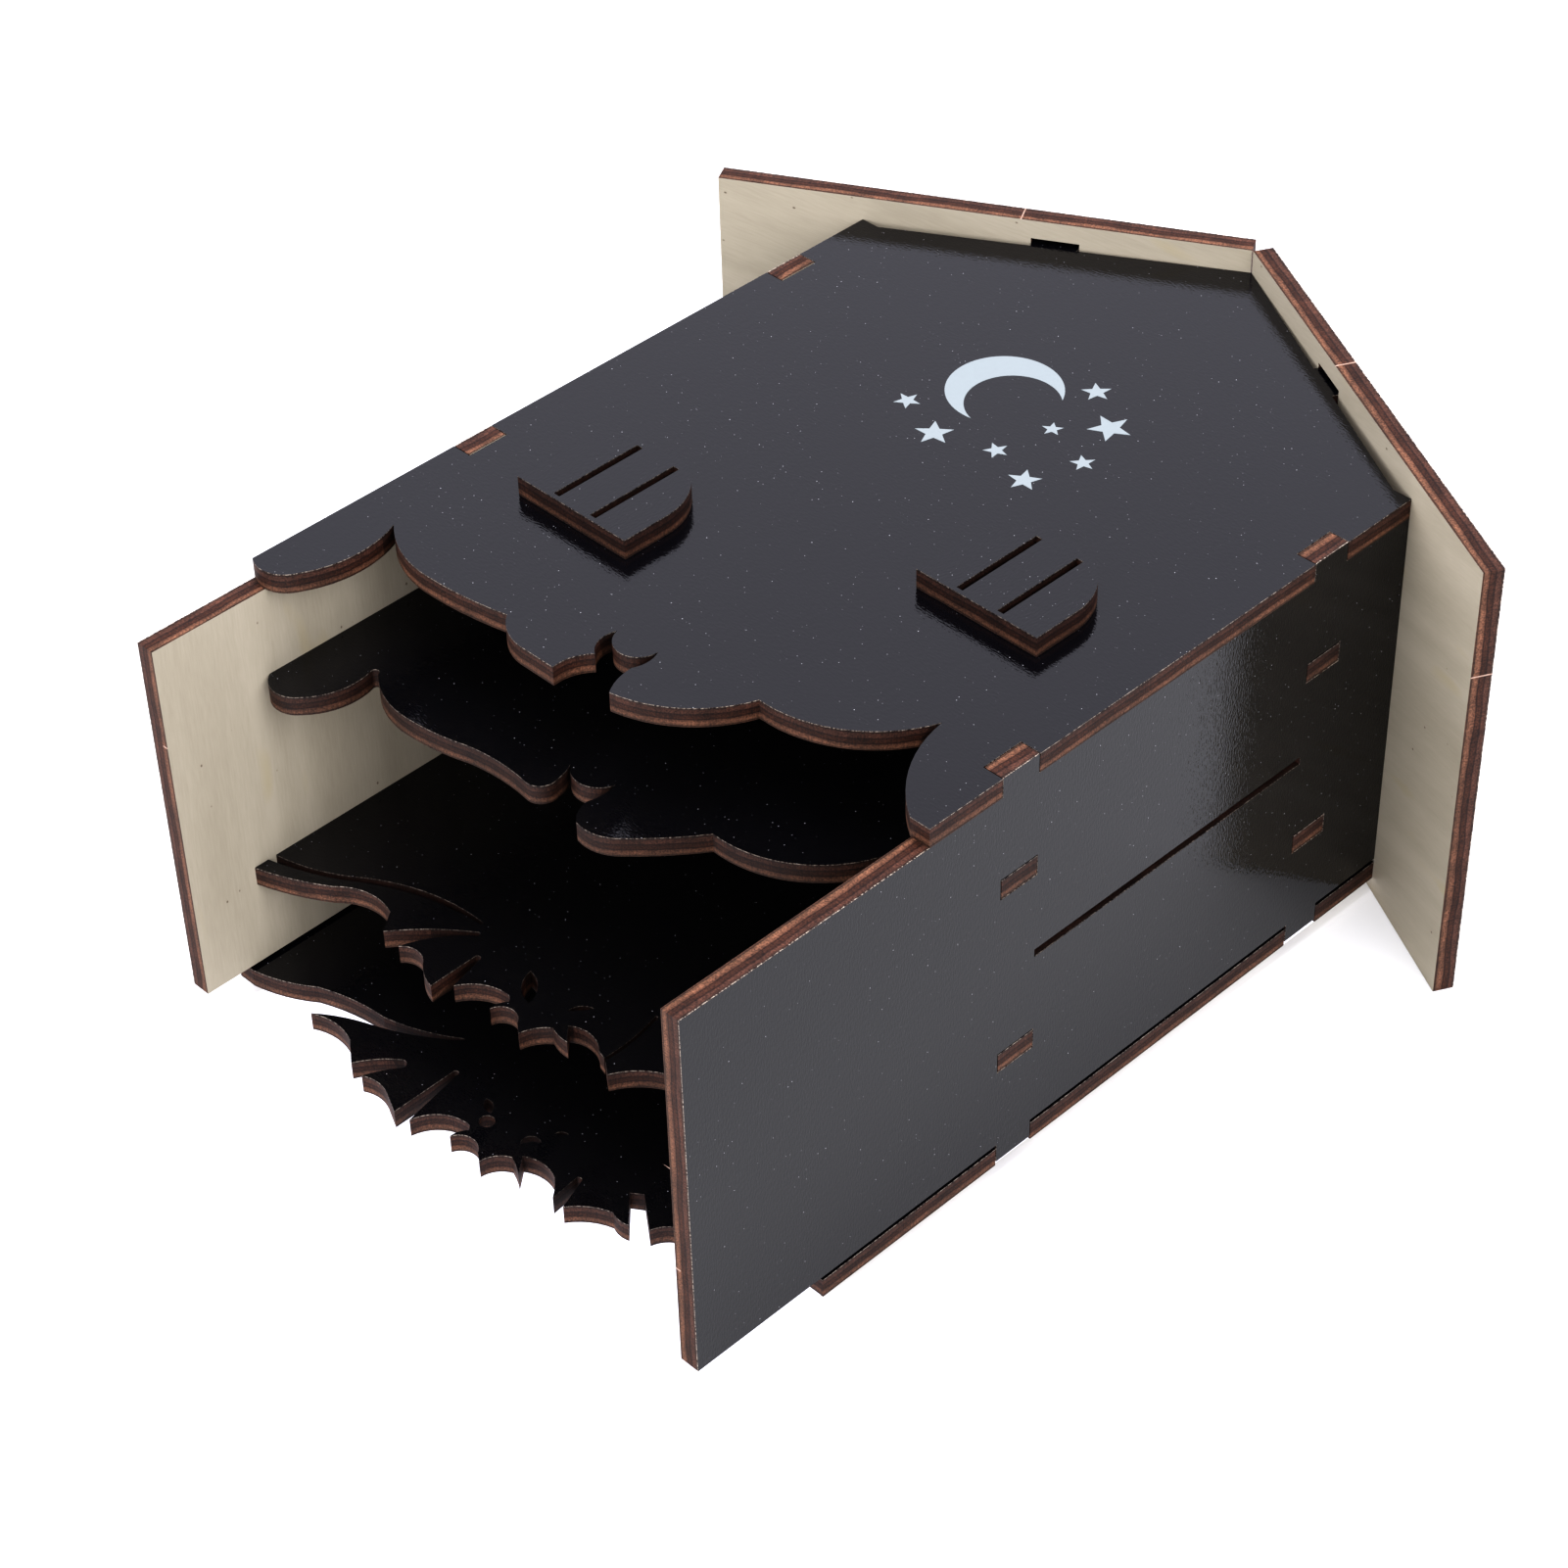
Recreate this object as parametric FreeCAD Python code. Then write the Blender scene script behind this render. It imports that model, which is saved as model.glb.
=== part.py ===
import FreeCAD
import Part
import math
import os

# Bat box of laser-cut board: a gabled front and back, two sides, two partitions, two roof
# boards and two small barred plates on the front, all held by tabs in notches and slots.
# X is to the right seen from the front, +Y to the back, +Z up. The origin is at the bottom,
# in the middle of the roof's width and depth. Lengths are in mm, angles in degrees.

# Boards and body
board = 5.0                    # thickness of every board
body_width = 165.0             # front and back panels, edge to edge
shoulder_height = 217.6        # square-cut tops of the sides, and shoulders of the gables
gable_pitch = 30.3             # the gables rise from the sides' inner faces
baffle_headroom = 11.6         # the partitions end this far below the shoulders

# Depths of the three chambers, from the front panel to the back panel
front_chamber = 22.0
middle_chamber = 44.0
rear_chamber = 22.0
back_standoff = 1.0            # the back stands off the sides' rear edges by this much

# Roof. Its boards lie on the gables' peaks and on the outer corners of the shoulders, a
# little flatter than the gables.
roof_play = 0.1                # between the roof and what it lies on
slope_length = 130.2           # underside of one roof board, ridge to eave
ridge_gap = 0.4                # between the two boards' ends, along the underside
front_overhang = 6.0
rear_overhang = 4.0

# Tabs, notches and slots
tab_length = 10.6
lower_tab_height = 88.6
upper_tab_drop = 20.4          # from the partitions' tops to the upper tabs' feet
gable_tab_length = 11.2
slot_gap = 0.25                # clearance round a tab
roof_slot_play = 0.9           # extra width of a roof slot, on its outer side

# Vent slit in each side, into the middle chamber, from the lower tabs to the upper ones
vent_width = 2.1

# Barred plates on the front
pad_radius = 17.0              # half the plate's width, and its round top
pad_straight = 12.3            # height of its straight sides
pad_slot_width = 1.8
pad_slot_spacing = 11.5
pad_slot_foot = 1.2            # from the plate's foot to the slots
pad_slot_head = 3.5            # from the slots to the top of the plate
left_pad_inset = 41.2          # from the front's edge to the middle of the plate
left_pad_foot = 86.1
right_pad_inset = 38.3
right_pad_foot = 121.5

# Worked out from the sizes above
half_width = body_width / 2
inner_half = half_width - board
baffle_top = shoulder_height - baffle_headroom
upper_tab_height = baffle_top - upper_tab_drop
peak_height = shoulder_height + inner_half * math.tan(math.radians(gable_pitch))
roof_pitch = math.atan((peak_height - shoulder_height) / half_width)
ridge_height = peak_height + roof_play
body_depth = (board + front_chamber + board + middle_chamber + board + rear_chamber
              + back_standoff + board)
roof_depth = front_overhang + body_depth + rear_overhang
roof_front = -roof_depth / 2
front_face = roof_front + front_overhang
front_inside = front_face + board
baffle_front_face = front_inside + front_chamber
baffle_rear_face = baffle_front_face + board + middle_chamber
side_rear = baffle_rear_face + board + rear_chamber
back_face = side_rear + back_standoff
back_outside = back_face + board
tab_heights = (lower_tab_height, upper_tab_height)

# Bottom edges, drawn from left to right for a body 165 mm wide, up from the side panels'
# feet. Another body enlarges them, and each is stretched to its own panel's width. A
# straight stretch gives its end point, and a curved one gives a point on the way and its end.

# The front: wings of a flying bat on both sides of two pointed ears
FRONT_HEM = [
    [(-82.5, 31.5)],
    [(-77.6, 30.3), (-71.4, 34.6)],
    [(-67.6, 45.6), (-69.8, 60.2)],
    [(-61.0, 54.9), (-50.0, 53.2)],
    [(-39.0, 54.0), (-28.3, 56.0)],
    [(-23.8, 52.2), (-17.0, 50.8)],
    [(-8.3, 50.8)],
    [(-7.8, 55.8), (-5.3, 59.8)],
    [(-8.0, 63.4), (-7.5, 68.1)],
    [(-1.6, 63.5), (3.8, 69.2)],
    [(4.7, 65.5), (3.7, 61.8)],
    [(4.3, 57.2), (6.2, 53.2)],
    [(20.0, 59.4), (30.0, 72.6)],
    [(50.0, 78.3), (61.8, 92.9)],
    [(67.0, 77.8), (77.2, 67.5)],
    [(82.5, 67.5)],
]

# The first partition: the same wings, set lower and softer
BAFFLE_FRONT_HEM = [
    [(-77.5, 28.5)],
    [(-73.0, 25.3), (-66.4, 27.8)],
    [(-62.0, 36.0), (-62.4, 44.6)],
    [(-61.3, 45.6), (-60.2, 44.6)],
    [(-53.0, 40.4), (-44.8, 39.2)],
    [(-36.0, 40.1), (-28.0, 42.1)],
    [(-19.0, 43.2), (-10.5, 42.7)],
    [(-6.8, 44.0), (-6.1, 48.0)],
    [(-6.7, 50.8), (-7.8, 53.2)],
    [(-2.2, 50.2), (4.1, 55.0)],
    [(4.6, 51.2), (3.8, 47.3)],
    [(4.7, 43.9), (7.0, 41.3)],
    [(12.6, 41.4), (17.5, 44.3)],
    [(24.0, 50.9), (30.0, 58.3)],
    [(48.5, 63.3), (60.5, 79.0)],
    [(65.2, 64.5), (74.0, 54.5)],
    [(77.5, 54.5)],
]

# The second partition: a long slit frees the upper edge of the left wing, and shorter
# slits run up between its ribs
BAFFLE_REAR_HEM = [
    [(-77.5, 23.4)],
    [(-69.0, 25.7), (-60.0, 30.2)],
    [(-44.5, 38.4), (-27.2, 40.8)],
    [(-26.7, 40.4), (-27.2, 40.0)],
    [(-44.5, 36.3), (-60.0, 28.4)],
    [(-68.5, 24.2), (-77.5, 21.2)],
    [(-77.5, 17.3)],
    [(-68.0, 21.0), (-60.0, 25.5)],
    [(-51.0, 29.8), (-44.3, 28.8)],
    [(-40.6, 23.7)],
    [(-35.0, 30.1), (-25.6, 37.8)],
    [(-24.6, 37.9), (-24.5, 37.0)],
    [(-30.8, 30.2), (-34.5, 22.9)],
    [(-30.0, 24.8), (-26.2, 22.8)],
    [(-23.0, 20.6), (-19.9, 19.6)],
    [(-20.0, 32.2)],
    [(-19.1, 33.1), (-18.4, 32.2)],
    [(-16.3, 23.0)],
    [(-12.2, 27.5), (-6.6, 29.3)],
    [(-4.9, 29.0), (-3.9, 27.9)],
    [(-5.0, 26.3), (-5.3, 23.7)],
    [(-1.2, 26.9), (2.4, 24.7)],
    [(4.8, 22.9)],
    [(6.5, 26.8), (8.8, 29.1)],
    [(11.2, 28.4), (14.2, 28.3)],
    [(10.7, 31.8)],
    [(16.0, 33.4), (21.2, 31.1)],
    [(23.4, 30.5)],
    [(23.4, 38.5), (22.0, 46.4)],
    [(22.4, 46.9), (22.8, 46.4)],
    [(24.2, 38.5), (24.2, 30.1)],
    [(27.6, 27.6)],
    [(31.2, 32.7), (36.0, 36.1)],
    [(38.6, 35.5), (41.0, 36.0)],
    [(34.3, 42.4)],
    [(37.0, 44.2)],
    [(45.3, 38.1)],
    [(50.6, 43.2), (57.5, 42.4)],
    [(66.5, 48.8), (73.0, 52.0)],
    [(77.5, 52.0)],
]

# The back: the whole bat, with its left wing free of the panel's edge
BACK_HEM = [
    [(-82.5, 12.6)],
    [(-77.5, 12.6)],
    [(-69.7, 15.1), (-62.3, 19.4)],
    [(-53.5, 22.2), (-44.1, 23.4)],
    [(-34.5, 26.5), (-25.7, 31.4)],
    [(-25.3, 31.1), (-25.5, 30.7)],
    [(-34.4, 24.4), (-45.0, 19.5)],
    [(-51.2, 16.6), (-56.8, 12.8)],
    [(-50.2, 14.6), (-43.8, 13.4)],
    [(-38.0, 8.9)],
    [(-35.0, 13.4), (-30.8, 17.3)],
    [(-29.0, 17.4), (-28.4, 16.0)],
    [(-31.3, 11.7), (-33.2, 7.9)],
    [(-28.6, 9.1), (-25.0, 8.3)],
    [(-19.5, 5.7)],
    [(-19.6, 22.6)],
    [(-18.9, 23.6), (-18.1, 22.6)],
    [(-15.1, 6.3)],
    [(-11.4, 12.3), (-6.0, 14.4)],
    [(-4.4, 14.3), (-3.4, 13.2)],
    [(-4.6, 11.6), (-5.0, 9.2)],
    [(-1.0, 12.2), (3.2, 10.1)],
    [(5.2, 8.7)],
    [(6.8, 12.5), (9.4, 14.4)],
    [(12.0, 13.3), (14.2, 12.0)],
    [(10.8, 16.2)],
    [(16.2, 17.8), (20.6, 16.7)],
    [(22.7, 14.8), (24.6, 12.5)],
    [(23.9, 20.1)],
    [(24.8, 20.6), (25.6, 19.7)],
    [(28.2, 12.2)],
    [(32.2, 16.2), (37.0, 18.5)],
    [(39.6, 17.9), (42.0, 18.3)],
    [(35.3, 24.9)],
    [(38.0, 26.7)],
    [(46.3, 20.4)],
    [(50.6, 25.3), (57.5, 24.5)],
    [(64.5, 31.5), (74.5, 35.7)],
    [(82.5, 35.7)],
]

# Holes in the two bat drawings, each as a ring of stretches: the eyes and a mark on the brow
BAFFLE_REAR_HOLES = [
    [[(-7.8, 37.6)], [(-3.3, 35.7), (-0.5, 30.6)], [(-5.4, 32.8), (-7.8, 37.6)]],
    [[(7.2, 34.8)], [(8.1, 37.7), (10.9, 39.2)], [(9.1, 36.6), (7.2, 34.8)]],
]
BACK_HOLES = [
    [[(-8.0, 22.4)], [(-5.0, 21.9), (-3.8, 20.0)], [(-6.3, 20.2), (-8.0, 22.4)]],
    [[(-4.5, 17.8)], [(-2.6, 19.6), (-0.7, 17.8)], [(-2.6, 16.0), (-4.5, 17.8)]],
    [[(7.8, 18.1)], [(8.0, 21.8), (10.8, 21.6)], [(9.2, 20.4), (7.8, 18.1)]],
    [[(10.8, 25.5)], [(11.5, 27.0), (13.2, 27.5)], [(12.1, 26.3), (10.8, 25.5)]],
]


def stretch(steps, half):
    """Factor that brings the outermost point of a drawing to the panel's edge."""
    reach = max(abs(x) for step in steps for x, z in step)
    return half / reach


def drawn_point(point, factor):
    """A point of a drawing, in mm, in the plane of the drawing."""
    upward = stretch(FRONT_HEM, half_width)
    return FreeCAD.Vector(point[0] * factor, 0, point[1] * upward)


def drawn_edges(steps, factor):
    """Lines and arcs through a drawing's steps, starting at its first point."""
    edges = []
    here = drawn_point(steps[0][0], factor)
    for step in steps[1:]:
        points = [drawn_point(point, factor) for point in step]
        end = points[-1]
        if len(points) == 1:
            edges.append(Part.LineSegment(here, end).toShape())
        else:
            edges.append(Part.Arc(here, points[0], end).toShape())
        here = end
    return edges


def flat_board(edges, near, thickness=board):
    """A board from the closed ring of edges, its near face at Y = near."""
    face = Part.Face(Part.Wire(Part.sortEdges(edges)[0]))
    solid = face.extrude(FreeCAD.Vector(0, thickness, 0))
    solid.translate(FreeCAD.Vector(0, near, 0))
    return solid


def block(x_range, y_range, z_range):
    """A rectangular block between two limits on each axis, given in any order."""
    low = [min(pair) for pair in (x_range, y_range, z_range)]
    size = [abs(pair[1] - pair[0]) for pair in (x_range, y_range, z_range)]
    return Part.makeBox(size[0], size[1], size[2], FreeCAD.Vector(low[0], low[1], low[2]))


def panel(hem, half, near, top_points):
    """A panel with its drawn bottom edge, straight sides and the given top corners."""
    factor = stretch(hem, half)
    edges = drawn_edges(hem, factor)
    corners = [drawn_point(hem[-1][-1], factor)]
    corners += [FreeCAD.Vector(x, 0, z) for x, z in top_points]
    corners.append(drawn_point(hem[0][0], factor))
    for start, end in zip(corners, corners[1:]):
        edges.append(Part.LineSegment(start, end).toShape())
    return flat_board(edges, near)


def drill_drawing(solid, holes, hem, half, near):
    """Cut a drawing's holes through a panel."""
    factor = stretch(hem, half)
    for ring in holes:
        solid = solid.cut(flat_board(drawn_edges(ring, factor), near))
    return solid


def on_slope(along, out, side):
    """A point along the roof's underside from the ridge, and out from it, on one side."""
    x = along * math.cos(roof_pitch) + out * math.sin(roof_pitch)
    z = ridge_height - along * math.sin(roof_pitch) + out * math.cos(roof_pitch)
    return FreeCAD.Vector(side * x, 0, z)


def slope_bar(side, along_range, out_range, y_range):
    """A straight bar lying on one slope of the roof."""
    corners = [
        on_slope(along_range[0], out_range[0], side),
        on_slope(along_range[1], out_range[0], side),
        on_slope(along_range[1], out_range[1], side),
        on_slope(along_range[0], out_range[1], side),
    ]
    face = Part.Face(Part.makePolygon(corners + corners[:1]))
    solid = face.extrude(FreeCAD.Vector(0, y_range[1] - y_range[0], 0))
    solid.translate(FreeCAD.Vector(0, y_range[0], 0))
    return solid


def gable_tab_range(gap=0.0):
    """Where a gable's tab lies along the slope: halfway from the ridge to the side."""
    middle = half_width / math.cos(roof_pitch) / 2
    reach = gable_tab_length / 2 + gap
    return (middle - reach, middle + reach)


def gable_panel(hem, near):
    """Front or back: drawn hem, gable with a tab on each slope, notches down the sides."""
    top = [
        (half_width, shoulder_height),
        (inner_half, shoulder_height),
        (0, peak_height),
        (-inner_half, shoulder_height),
        (-half_width, shoulder_height),
    ]
    solid = panel(hem, half_width, near, top)
    depth = (near, near + board)
    for side in (1, -1):
        # The tab starts inside the panel, so that the two join into one solid
        tab = slope_bar(side, gable_tab_range(), (-board, board), depth)
        solid = solid.fuse(tab)
        for height in tab_heights:
            notch = block((side * (inner_half - slot_gap), side * (half_width + board)),
                          depth,
                          (height - slot_gap, height + tab_length + slot_gap))
            solid = solid.cut(notch)
    return solid.removeSplitter()


def baffle(hem, near):
    """Partition: drawn hem, straight top, two tabs on each edge."""
    top = [(inner_half, baffle_top), (-inner_half, baffle_top)]
    solid = panel(hem, inner_half, near, top)
    for side in (1, -1):
        for height in tab_heights:
            # The tab starts inside the panel, so that the two join into one solid
            tab = block((side * (inner_half - board), side * half_width),
                        (near, near + board),
                        (height, height + tab_length))
            solid = solid.fuse(tab)
    return solid.removeSplitter()


def side_panel(side):
    """Side: tabs into the front and the back, slots for the partitions, one vent slit."""
    width = (side * inner_half, side * half_width)
    solid = block(width, (front_inside, side_rear), (0, shoulder_height))
    past = (side * (inner_half - board), side * (half_width + board))
    for height in tab_heights:
        tab_z = (height, height + tab_length)
        slot_z = (height - slot_gap, height + tab_length + slot_gap)
        solid = solid.fuse(block(width, (front_face, side_rear + board), tab_z))
        for near in (baffle_front_face, baffle_rear_face):
            slot_y = (near - slot_gap, near + board + slot_gap)
            solid = solid.cut(block(past, slot_y, slot_z))
    middle = (baffle_front_face + board + baffle_rear_face) / 2
    vent_y = (middle - vent_width / 2, middle + vent_width / 2)
    vent_z = (lower_tab_height + tab_length, upper_tab_height)
    solid = solid.cut(block(past, vent_y, vent_z))
    return solid.removeSplitter()


def roof_board(side):
    """Roof board: square-cut, with a slot for the front's tab and one for the back's."""
    roof_rear = roof_front + roof_depth
    solid = slope_bar(side, (ridge_gap / 2, slope_length), (0, board), (roof_front, roof_rear))
    slots_y = (
        (front_face - roof_slot_play - slot_gap, front_inside + slot_gap),
        (back_face - slot_gap, back_outside + roof_slot_play + slot_gap),
    )
    for slot_y in slots_y:
        slot = slope_bar(side, gable_tab_range(slot_gap), (-board, 2 * board), slot_y)
        solid = solid.cut(slot)
    return solid


def pad(across, foot):
    """Round-topped plate on the front's face, with two upright slots."""
    shoulder = foot + pad_straight
    left_foot = FreeCAD.Vector(across - pad_radius, 0, foot)
    right_foot = FreeCAD.Vector(across + pad_radius, 0, foot)
    left_shoulder = FreeCAD.Vector(across - pad_radius, 0, shoulder)
    right_shoulder = FreeCAD.Vector(across + pad_radius, 0, shoulder)
    crown = FreeCAD.Vector(across, 0, shoulder + pad_radius)
    edges = [
        Part.LineSegment(left_foot, right_foot).toShape(),
        Part.LineSegment(right_foot, right_shoulder).toShape(),
        Part.Arc(right_shoulder, crown, left_shoulder).toShape(),
        Part.LineSegment(left_shoulder, left_foot).toShape(),
    ]
    near = front_face - board
    solid = flat_board(edges, near)
    slot_z = (foot + pad_slot_foot, crown.z - pad_slot_head)
    for sign in (1, -1):
        middle = across + sign * pad_slot_spacing / 2
        slot_x = (middle - pad_slot_width / 2, middle + pad_slot_width / 2)
        solid = solid.cut(block(slot_x, (near, front_face), slot_z))
    return solid


def build():
    """Every piece by name."""
    rear_baffle = baffle(BAFFLE_REAR_HEM, baffle_rear_face)
    rear_baffle = drill_drawing(rear_baffle, BAFFLE_REAR_HOLES, BAFFLE_REAR_HEM,
                                inner_half, baffle_rear_face)
    back = gable_panel(BACK_HEM, back_face)
    back = drill_drawing(back, BACK_HOLES, BACK_HEM, half_width, back_face)
    return {
        "front_panel": gable_panel(FRONT_HEM, front_face),
        "baffle_front": baffle(BAFFLE_FRONT_HEM, baffle_front_face),
        "baffle_rear": rear_baffle,
        "back_panel": back,
        "side_left": side_panel(-1),
        "side_right": side_panel(1),
        "roof_left": roof_board(-1),
        "roof_right": roof_board(1),
        "pad_left": pad(left_pad_inset - half_width, left_pad_foot),
        "pad_right": pad(half_width - right_pad_inset, right_pad_foot),
    }


os.makedirs("parts", exist_ok=True)
for name, shape in build().items():
    solids = shape.Solids
    if len(solids) != 1 or not shape.isValid():
        raise RuntimeError(f"{name} has {len(solids)} solids, valid: {shape.isValid()}")
    solids[0].exportStep(f"parts/{name}.step")
    box = solids[0].BoundBox
    print(f"{name}: volume {solids[0].Volume:.0f} mm3,"
          f" x {box.XMin:.1f} to {box.XMax:.1f},"
          f" y {box.YMin:.1f} to {box.YMax:.1f},"
          f" z {box.ZMin:.1f} to {box.ZMax:.1f}")
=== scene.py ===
import math

import bmesh
import bpy
from mathutils import Matrix, Vector


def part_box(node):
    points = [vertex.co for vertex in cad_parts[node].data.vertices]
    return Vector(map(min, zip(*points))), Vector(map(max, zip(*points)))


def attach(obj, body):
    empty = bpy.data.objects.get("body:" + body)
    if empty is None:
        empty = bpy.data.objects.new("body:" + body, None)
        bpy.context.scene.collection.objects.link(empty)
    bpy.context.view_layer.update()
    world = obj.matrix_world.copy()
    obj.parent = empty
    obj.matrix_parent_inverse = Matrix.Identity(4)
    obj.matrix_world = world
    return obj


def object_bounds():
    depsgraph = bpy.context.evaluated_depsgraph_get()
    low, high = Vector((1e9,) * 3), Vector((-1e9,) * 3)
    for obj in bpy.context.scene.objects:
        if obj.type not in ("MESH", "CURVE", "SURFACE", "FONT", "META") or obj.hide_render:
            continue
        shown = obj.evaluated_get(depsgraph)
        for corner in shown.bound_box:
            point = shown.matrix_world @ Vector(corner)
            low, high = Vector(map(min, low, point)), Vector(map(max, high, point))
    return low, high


bl_info = {
    "name": "Bat box",
    "version": (1, 0, 0),
    "blender": (4, 5, 0),
    "location": "View3D > Sidebar > Bat box",
    "description": "Finishes the boards of a laser-cut bat box and sets up its studio",
    "category": "Object",
}

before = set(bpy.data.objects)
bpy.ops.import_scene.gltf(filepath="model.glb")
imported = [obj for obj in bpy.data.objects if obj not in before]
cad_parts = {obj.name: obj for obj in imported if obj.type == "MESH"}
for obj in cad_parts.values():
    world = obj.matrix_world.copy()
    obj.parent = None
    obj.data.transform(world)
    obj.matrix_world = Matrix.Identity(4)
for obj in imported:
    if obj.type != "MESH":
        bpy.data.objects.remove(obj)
cad_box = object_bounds()

# Metres in one millimetre
MM = 0.001

# Points closer than this are one point
WELD = 0.001 * MM

# Directions: X is to the right seen from the front, Y to the back, Z up
FORWARD = Vector((0, -1, 0))
BACKWARD = Vector((0, 1, 0))
RIGHT = Vector((1, 0, 0))
LEFT = Vector((-1, 0, 0))
UPWARD = Vector((0, 0, 1))
DOWNWARD = Vector((0, 0, -1))

# Nearly all values of a noise lie between these two
NOISE_LOW = 0.3
NOISE_HIGH = 0.7

# How pale a cut is drawn: the laser lingers on curves, and chars them more; the first
# partition's and the plates' cuts are drawn darkest, and the walls of a narrow cut get painted
# shade, darker still
STRAIGHT_CUT = 0.95
CURVED_CUT = 0.7
# Paleness of the first partition's and the plates' cuts, the darkest of all
DARKEST_CUT = 0.5
NARROW_CUT_SHADE = 0.35


def linear(hex_colour):
    """Linear RGBA of an sRGB hex value such as 2B2A2D."""
    channels = [int(hex_colour[i:i + 2], 16) / 255 for i in (0, 2, 4)]
    return [c / 12.92 if c <= 0.04045 else ((c + 0.055) / 1.055) ** 2.4
            for c in channels] + [1.0]


def add(tree, kind, inputs=None, stops=None, **settings):
    """Add a node with its settings, its colour stops, and values or links for its inputs."""
    node = tree.nodes.new(kind)
    for name, value in settings.items():
        setattr(node, name, value)
    if stops:
        elements = node.color_ramp.elements
        while len(elements) < len(stops):
            elements.new(1.0)
        for element, (position, colour) in zip(elements, stops):
            element.position = position
            element.color = linear(colour)
    for key, value in (inputs or {}).items():
        if isinstance(value, bpy.types.NodeSocket):
            tree.links.new(value, node.inputs[key])
        else:
            node.inputs[key].default_value = value
    return node


# Sizes and colours

class BoardFinish(bpy.types.PropertyGroup):
    """Looks of the three-ply board."""
    coat_colour: bpy.props.FloatVectorProperty(
        name="Coat colour", description="Black lacquer on one face of each board",
        subtype="COLOR", size=4, min=0, max=1, default=linear("09090D"))
    dust_colour: bpy.props.FloatVectorProperty(
        name="Dust colour", description="Pale specks lying on the lacquer",
        subtype="COLOR", size=4, min=0, max=1, default=linear("B8B8BC"))
    coat_roughness: bpy.props.FloatProperty(
        name="Coat roughness", description="0 is a mirror, 1 is dull",
        min=0, max=1, default=0.08)
    peel_relief: bpy.props.FloatProperty(
        name="Peel relief", description="Height of the lacquer's orange peel, in mm",
        min=0, max=1, default=0.045)
    wood_pale: bpy.props.FloatVectorProperty(
        name="Pale wood", description="Light streaks of the bare basswood",
        subtype="COLOR", size=4, min=0, max=1, default=linear("B3AB99"))
    wood_dark: bpy.props.FloatVectorProperty(
        name="Dark wood", description="Dark streaks of the bare basswood",
        subtype="COLOR", size=4, min=0, max=1, default=linear("A59D8B"))
    wood_yellow: bpy.props.FloatVectorProperty(
        name="Yellow wood", description="A few mineral streaks in the bare basswood",
        subtype="COLOR", size=4, min=0, max=1, default=linear("AB9E79"))
    fleck_colour: bpy.props.FloatVectorProperty(
        name="Fleck colour", description="Dark pin flecks in the bare basswood",
        subtype="COLOR", size=4, min=0, max=1, default=linear("4A3A28"))
    # Pale line along the lacquer's arris: chipped lacquer, and a painted glint of the rounded
    # arris
    chip_and_glint_colour: bpy.props.FloatVectorProperty(
        name="Chip colour", description="Pale line where the lacquer is chipped along a cut",
        subtype="COLOR", size=4, min=0, max=1, default=linear("C8BAAA"))


class PrintSizes(bpy.types.PropertyGroup):
    """The white print on the front: a crescent moon among stars."""
    ink_colour: bpy.props.FloatVectorProperty(
        name="Ink colour", description="White screen-printing ink",
        subtype="COLOR", size=4, min=0, max=1, default=linear("878F91"))
    thin_colour: bpy.props.FloatVectorProperty(
        name="Thin ink colour", description="The ink where a little black shows through",
        subtype="COLOR", size=4, min=0, max=1, default=linear("7C8183"))
    film: bpy.props.FloatProperty(
        name="Film", description="Thickness of the ink", unit="LENGTH",
        min=0.01 * MM, max=0.5 * MM, default=0.05 * MM, precision=5)
    moon_radius: bpy.props.FloatProperty(
        name="Moon radius", description="Outer radius of the crescent", unit="LENGTH",
        min=2 * MM, max=30 * MM, default=13.5 * MM, precision=4)
    moon_across: bpy.props.FloatProperty(
        name="Moon across", description="Middle of the moon, right of the panel's middle",
        unit="LENGTH", min=-60 * MM, max=60 * MM, default=-9.0 * MM, precision=4)
    moon_height: bpy.props.FloatProperty(
        name="Moon height", description="Middle of the moon above the sides' feet",
        unit="LENGTH", min=100 * MM, max=230 * MM, default=188.0 * MM, precision=4)
    star_waist: bpy.props.FloatProperty(
        name="Star waist", description="Inner radius of a star as a share of its outer one",
        min=0.1, max=0.9, default=0.42)


class MarkSizes(bpy.types.PropertyGroup):
    """Where small bridges held the boards in their sheet."""
    width: bpy.props.FloatProperty(
        name="Width", description="Width of a broken bridge along the edge", unit="LENGTH",
        min=0.1 * MM, max=3 * MM, default=0.35 * MM, precision=5)
    proud: bpy.props.FloatProperty(
        name="Proud", description="How far it stands out of the edge", unit="LENGTH",
        min=0.02 * MM, max=1 * MM, default=0.12 * MM, precision=5)
    pale_colour: bpy.props.FloatVectorProperty(
        name="Pale colour", description="Torn, unburnt fibres",
        subtype="COLOR", size=4, min=0, max=1, default=linear("C4B0A2"))
    # Painted shade in the hollows between the torn fibres
    hollow_shade_colour: bpy.props.FloatVectorProperty(
        name="Dark colour", description="Hollows between the torn fibres",
        subtype="COLOR", size=4, min=0, max=1, default=linear("8A6450"))


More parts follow.
